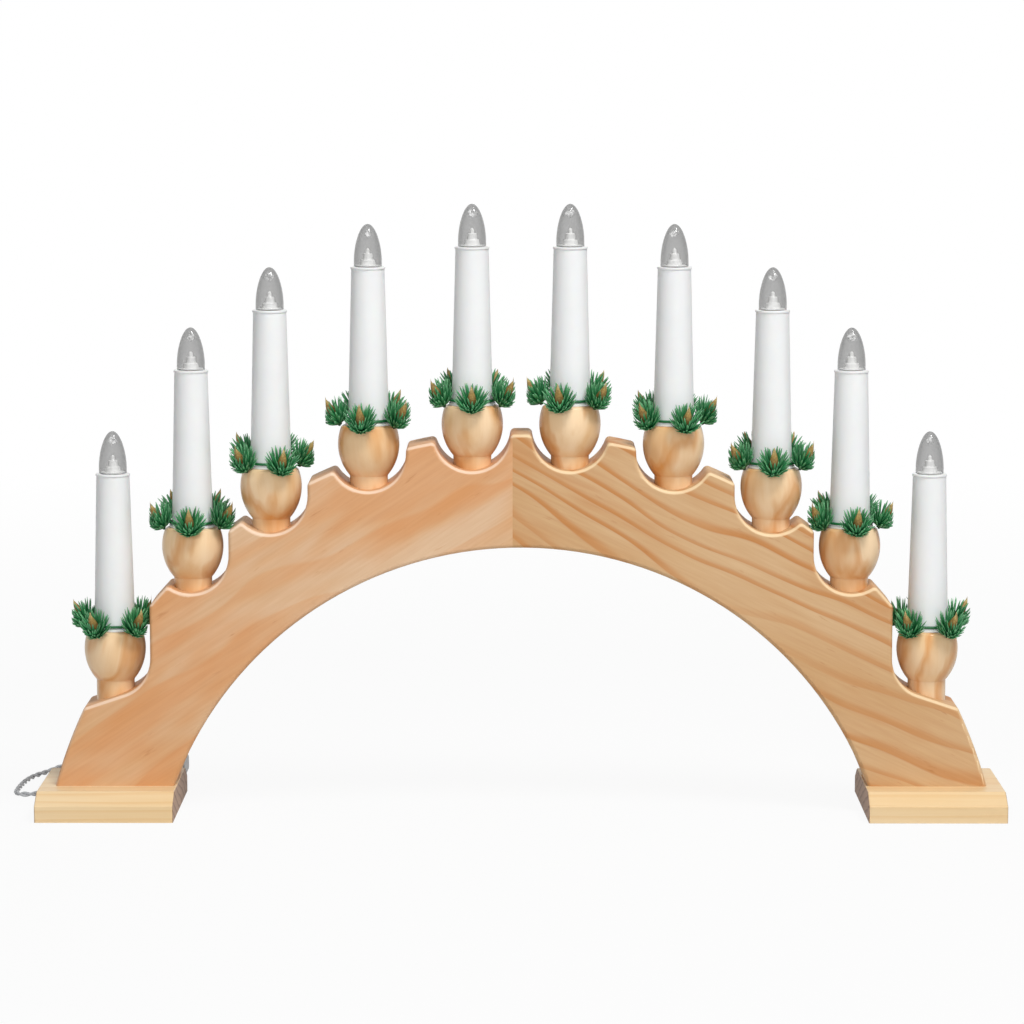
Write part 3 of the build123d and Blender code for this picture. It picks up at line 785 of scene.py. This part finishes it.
def seatTuft(points, spin, inward):
    # from the tuft's own axes to the ring: tip the axis out, move to the hub, turn about the candle; the
    # wreath hangs lower in front, clear of candle and cup, and the outermost two clear of the board too
    tip = radians(90 - garland["tilt"])
    tipped = points @ np.array([[np.cos(tip), 0, np.sin(tip)], [0, 1, 0], [-np.sin(tip), 0, np.cos(tip)]]).T
    out, up = np.array(garland["lean"]) * np.sin(spin)
    moved = tipped + np.array([garland["hubOut"] + out, 0, garland["hubZ"] + up])
    far = np.hypot(moved[:, 0], moved[:, 1])
    most = garland["mostR"]
    held = np.maximum(far, np.maximum(garland["clearR"], cupReach(moved[:, 2])))
    held = np.where(held > most, most + (held - most) * garland["overshoot"], held)
    moved[:, :2] *= (held / far)[:, None]
    seated = moved @ turnMatrix(spin).T
    over = np.clip(seated[:, 0] * inward - garland["inwardMost"], 0, None)
    seated[:, 0] -= over * inward * garland["inwardPull"]
    return seated


def ringShape():
    # a torus: the ring's radius plus the wire's cosine, round the candle
    around, sides = garland["ringSteps"], garland["wireSides"]
    turn = np.arange(around) * 2 * pi / around
    small = np.arange(sides) * 2 * pi / sides
    radius = garland["ringR"] + garland["wireR"] * np.cos(small)[None]
    height = np.broadcast_to(garland["ringZ"] + garland["wireR"] * np.sin(small), (around, sides))
    points = np.stack([radius * np.cos(turn)[:, None], radius * np.sin(turn)[:, None], height], -1)
    return points.reshape(-1, 3), gridFaces(around, sides, wrapRows=True)[:, ::-1]


def joined(groups):
    # several point and face arrays as one, with the faces' numbers moved on
    starts = np.cumsum([0] + [len(points) for points, faces in groups[:-1]])
    allPoints = np.concatenate([points for points, faces in groups])
    allFaces = np.concatenate([faces + start for (points, faces), start in zip(groups, starts)])
    return allPoints, allFaces


needleFinish = greenNeedles()
budFinish = budScales()


def addGarland(number, seat):
    luck = np.random.default_rng(garland["seed"] + number)
    start = radians(garland["turns"][number - 1])
    inward = garland["inward"].get(number, 0)
    ring, hub = ringShape(), hubShape()
    wireAlong, wireLuck = garland["wireShades"]
    hubAlong, hubLuck = garland["hubShades"]
    groups, along, chance = [ring], [np.full(len(ring[0]), wireAlong)], [np.full(len(ring[0]), wireLuck)]
    buds, budAlong = [], []
    for step in range(garland["tufts"]):
        spin = start + step * 2 * pi / garland["tufts"]
        points, faces, share, fate = tuftNeedles(luck)
        groups += [(seatTuft(points, spin, inward), faces), (seatTuft(hub[0], spin, inward), hub[1])]
        along += [share, np.full(len(hub[0]), hubAlong)]
        chance += [fate, np.full(len(hub[0]), hubLuck)]
        points, faces, share = budShape(luck)
        buds.append((seatTuft(points, spin, inward), faces))
        budAlong.append(share)
    tag = f"{number:02d}"
    points, faces = joined(groups)
    marks = {"along": np.concatenate(along), "luck": np.concatenate(chance)}
    addPiece(f"needleRing_{tag}", points * mm + seat, faces, needleFinish, f"ring_{tag}",
             [f"garland_{tag}"], marks)
    points, faces = joined(buds)
    marks = {"along": np.concatenate(budAlong)}
    addPiece(f"buds_{tag}", points * mm + seat, faces, budFinish, f"ring_{tag}",
             [f"garland_{tag}"], marks)


for number, seat in seats.items():
    addGarland(number, seat)
print("garlands set")


# cord: the route in mm from home, as in the part's source, turns in degrees
cord = {
    "r": 1.5, "strandR": 0.74, "strandSides": 8, "twist": 13.0, "step": 1.2,
    "exit": (-219.61, 40.0, 30.0), "lay": 1.5,
    "coilX": -235.01, "coilY": 92.0, "coilR": 24.0, "coilPitch": 3.5, "coilZ": 2.65,
    "coilStart": 135.0, "coilSweep": 3285.0, "pointsPerTurn": 24, "coilIn": 11.0, "coilOut": 9.0,
    "tail": ((-216, 119.5, 5.8), (-206, 119.3, 6.3), (-199, 112.5, 6.5), (-199, 104, 6.5)),
}


def coilPoints(turned):
    # a spiral that runs in and out again at a steady rate and climbs a layer in the half turn between
    half = cord["coilSweep"] / 2
    radius = cord["coilR"] - cord["coilPitch"] * (half - np.abs(turned - half)) / 360
    share = np.clip((turned - half + 90) / 180, 0, 1)
    height = cord["coilZ"] + cord["coilPitch"] * share * share * (3 - 2 * share)
    angle = np.radians(cord["coilStart"] - turned)
    across, deep = cord["coilX"] + radius * np.cos(angle), cord["coilY"] + radius * np.sin(angle)
    return np.stack([across, deep, height], -1)


def cordRoute():
    # out of the gland, down behind the foot, a bend beside it, the coil, and the tail to the plug
    x, y, z = cord["exit"]
    lay = cord["lay"]
    lead = np.array([
        (x, y, z), (x, y + 7.5, z), (x - 3, y + 14, z - 4), (x - 10, y + 17.5, z - 11),
        (x - 19, y + 18, z - 19), (x - 29, y + 17, z - 25.5), (x - 37.5, y + 13.5, lay),
        (x - 43.5, y + 6.5, lay), (x - 45.3, y - 2.5, lay), (x - 45.6, y - 10.9, lay),
        (x - 49.6, y - 15, lay), (x - 55.4, y - 15, lay), (x - 59.4, y - 10.9, lay),
        (x - 59.7, y - 1.5, lay), (x - 59.2, y + 13, lay), (x - 58, y + 25, lay), (x - 55, y + 37, lay),
        (x - 49, y + 48, lay),
    ])
    count = round(cord["coilSweep"] / 360 * cord["pointsPerTurn"])
    coil = coilPoints(np.linspace(0, cord["coilSweep"], count))
    into = coil[0] - (coil[1] - coil[0]) / np.linalg.norm(coil[1] - coil[0]) * cord["coilIn"]
    off = coil[-1] + (coil[-1] - coil[-2]) / np.linalg.norm(coil[-1] - coil[-2]) * cord["coilOut"]
    return np.concatenate([lead, into[None], coil, off[None], np.array(cord["tail"])]) * mm + home


def splineLine(route):
    # the smooth line along the route: an order 3 spline read back as points
    data = bpy.data.curves.new("cordLine", "CURVE")
    data.dimensions = "3D"
    data.resolution_u = 10
    spline = data.splines.new("NURBS")
    spline.points.add(len(route) - 1)
    spline.points.foreach_set("co", np.column_stack([route, np.ones(len(route))]).ravel())
    spline.order_u = 3
    spline.use_endpoint_u = True
    holder = bpy.data.objects.new("cordLine", data)
    bpy.context.scene.collection.objects.link(holder)
    mesh = bpy.data.meshes.new_from_object(holder)
    line = np.empty(len(mesh.vertices) * 3)
    mesh.vertices.foreach_get("co", line)
    bpy.data.objects.remove(holder)
    bpy.data.meshes.remove(mesh)
    return line.reshape(-1, 3)


def evenly(line, step):
    # points a step apart along a line
    way = np.concatenate([[0], np.cumsum(np.linalg.norm(np.diff(line, axis=0), axis=1))])
    at = np.linspace(0, way[-1], int(way[-1] / step) + 1)
    return np.stack([np.interp(at, way, line[:, k]) for k in range(3)], -1), at


def twistedStrands(line, way):
    # two round strands, each half the cord's radius off its line, turning about it with the way along
    ahead = np.gradient(line, axis=0)
    ahead /= np.linalg.norm(ahead, axis=1)[:, None]
    side = np.cross((0, 0, 1.0), ahead)
    side /= np.linalg.norm(side, axis=1)[:, None]
    rise = np.cross(ahead, side)
    sides = cord["strandSides"]
    facing = np.arange(sides) * 2 * pi / sides
    ring = np.cos(facing)[None, :, None] * side[:, None] + np.sin(facing)[None, :, None] * rise[:, None]
    groups = []
    for start in (0, pi):
        turn = (way / (cord["twist"] * mm) * 2 * pi + start)[:, None]
        middle = line + (np.cos(turn) * side + np.sin(turn) * rise) * (cord["r"] / 2 * mm)
        points = (middle[:, None] + ring * cord["strandR"] * mm).reshape(-1, 3)
        groups.append((points, gridFaces(len(line), sides)[:, ::-1]))
    return groups


cordFinish = greyPlastic("cordGrey", shade(198, 200, 202), shade(168, 170, 174), 0.28)
cordLine = splineLine(cordRoute())
evenLine, evenWay = evenly(cordLine, cord["step"] * mm)
cordPoints, cordFaces = joined(twistedStrands(evenLine, evenWay))
cordPiece = addPiece("twistedCord", cordPoints, cordFaces, cordFinish, "stand",
                     ["cord_lead", "cord_coil", "cord_tail"])
print("cord laid,", round(float(evenWay[-1]), 3), "m long")


# studio: pale floor, white surround for the camera, soft lamps; sizes in m, power in W;
# a lamp is its name, place, aim, size and power
studio = {
    "floorSize": 12.0, "floorDrop": 0.0002, "floorColour": (0.62, 0.62, 0.62, 1.0), "floorNear": 0.93,
    "floorReach": (0.5, 1.6), "surround": 0.17,
    "lamps": (
        ("backLamp", (0.2, 2.6, 0.5), (0, 0, 0.14), 1.6, 20.0),
        ("keyLamp", (0.75, -0.95, 2.35), (0, 0, 0.16), 0.9, 48.0),
        ("frontLamp", (-0.15, -2.7, 0.8), (0, 0, 0.14), 1.8, 33.0),
    ),
}
seenRays = ("Is Camera Ray", "Is Glossy Ray", "Is Transmission Ray")


def addFloor():
    # white where the camera sees it, a little less near the object so that its shadow stays
    half = studio["floorSize"] / 2
    level = float(home[2]) - studio["floorDrop"]
    mesh = bpy.data.meshes.new("floor")
    corners = [(-half, -half, level), (half, -half, level), (half, half, level), (-half, half, level)]
    mesh.from_pydata(corners, [], [(0, 1, 2, 3)])
    floor = bpy.data.objects.new("floor", mesh)
    bpy.context.scene.collection.objects.link(floor)
    finish = Finish("floorPaper", baseColor=studio["floorColour"], roughness=0.9, specularIorLevel=0.1)
    camera, *others = [finish.add("LightPath", output=ray) for ray in seenRays]
    seen = camera
    for ray in others:
        seen = seen.math("MAXIMUM", ray)
    white = finish.add("Emission", None, {"Color": grey(1.0), "Strength": 1.0})
    away = finish.add("VectorMath", {"operation": "LENGTH"}, {0: finish.place()}, "Value")
    near, far = studio["floorReach"]
    share = finish.add("MapRange", None, {"Value": away, "From Min": near, "From Max": far,
                                          "To Min": studio["floorNear"], "To Max": 1.0})
    paper = Wire(finish, finish.surface.outputs[0])
    both = finish.add("MixShader", None, {0: seen * share, 1: paper, 2: white})
    finish.tree.links.new(both.socket, finish.output.inputs[0])
    mesh.materials.append(finish.material)


def addSurround():
    # full white to the rays that are seen, dim to those that light the object
    world = bpy.data.worlds.new("studioWorld")
    bpy.context.scene.world = world
    world.use_nodes = True
    tree = world.node_tree
    tree.nodes.clear()
    path = tree.nodes.new("ShaderNodeLightPath")
    background = tree.nodes.new("ShaderNodeBackground")
    output = tree.nodes.new("ShaderNodeOutputWorld")
    level = tree.nodes.new("ShaderNodeMapRange")
    camera, *others = [path.outputs[ray] for ray in seenRays]
    seen = camera
    for ray in others:
        either = tree.nodes.new("ShaderNodeMath")
        either.operation = "MAXIMUM"
        tree.links.new(seen, either.inputs[0])
        tree.links.new(ray, either.inputs[1])
        seen = either.outputs[0]
    tree.links.new(seen, level.inputs["Value"])
    level.inputs["To Min"].default_value = studio["surround"]
    level.inputs["To Max"].default_value = 1.0
    tree.links.new(level.outputs[0], background.inputs["Strength"])
    background.inputs["Color"].default_value = grey(1.0)
    tree.links.new(background.outputs[0], output.inputs[0])


def addLamps():
    for name, place, aim, size, power in studio["lamps"]:
        data = bpy.data.lights.new(name, "AREA")
        data.shape = "DISK"
        data.size = size
        data.energy = power
        lampObject = bpy.data.objects.new(name, data)
        bpy.context.scene.collection.objects.link(lampObject)
        lampObject.location = np.array(place) + home
        way = Vector(np.array(aim) - np.array(place))
        lampObject.rotation_euler = way.to_track_quat("-Z", "Y").to_euler()
        lampObject.visible_glossy = name == "keyLamp"


addFloor()
addSurround()
addLamps()
print("studio lit")
